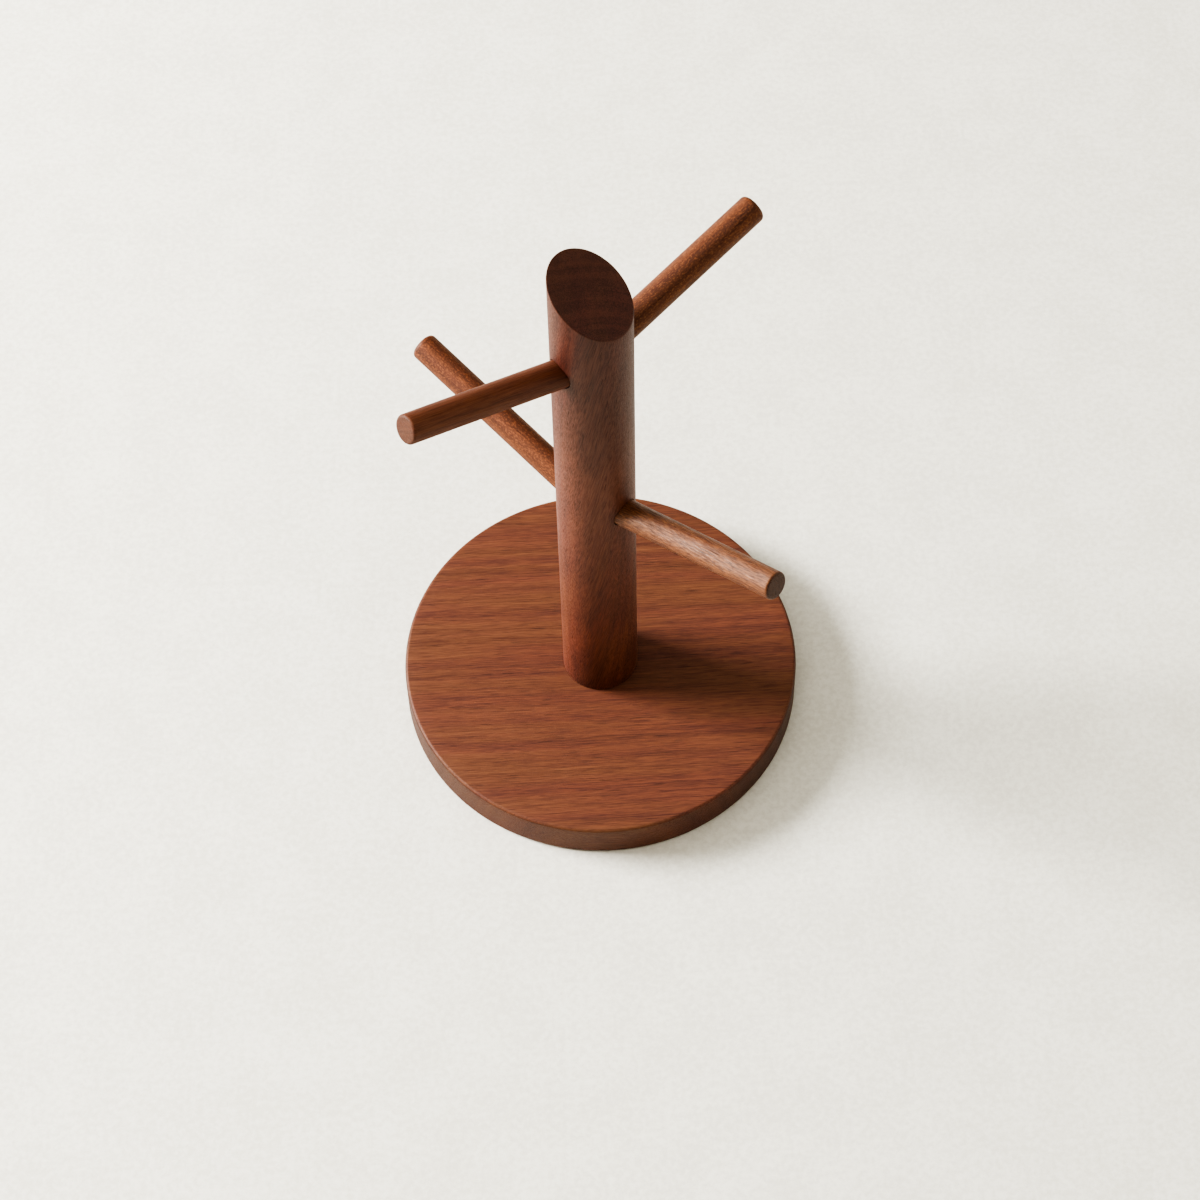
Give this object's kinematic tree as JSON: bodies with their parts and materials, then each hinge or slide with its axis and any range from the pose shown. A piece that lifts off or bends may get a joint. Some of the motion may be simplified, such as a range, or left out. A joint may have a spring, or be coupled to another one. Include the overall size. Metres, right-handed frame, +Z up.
{
  "type": "mug tree",
  "caption": "Small freestanding wooden tree: a round base, a straight post with a slanted top, and rising pegs that hang cups by their handles, or rings and keys.",
  "frame": {"origin": "centre of the felt pad's underside, the plane that the tree stands on, in the middle of the round base", "axes": "+Z up the post; +X to the right and -Y towards the viewer, with the front pegs at lower azimuths than +X and the slanted top highest towards the rear left"},
  "size_m": [0.09, 0.09, 0.1551],
  "materials": {
    "base_walnut": "satin oiled walnut, fine grain lines running across the disc, reddish brown",
    "post_walnut": "satin oiled walnut, grain along the post, darker end grain on the slanted top",
    "peg_walnut": "satin oiled walnut dowel, grain along the peg, open pores",
    "screw_steel": "yellow zinc plated steel, satin",
    "felt": "pressed wool felt, dark brown, matt"
  },
  "bodies": {
    "root": {"base_disc": "base_walnut", "felt_pad": "felt", "post": "post_walnut", "base_screw": "screw_steel", "peg_upper_front": "peg_walnut", "peg_upper_rear": "peg_walnut", "peg_lower_front": "peg_walnut", "peg_lower_rear": "peg_walnut"}
  },
  "joints": []
}
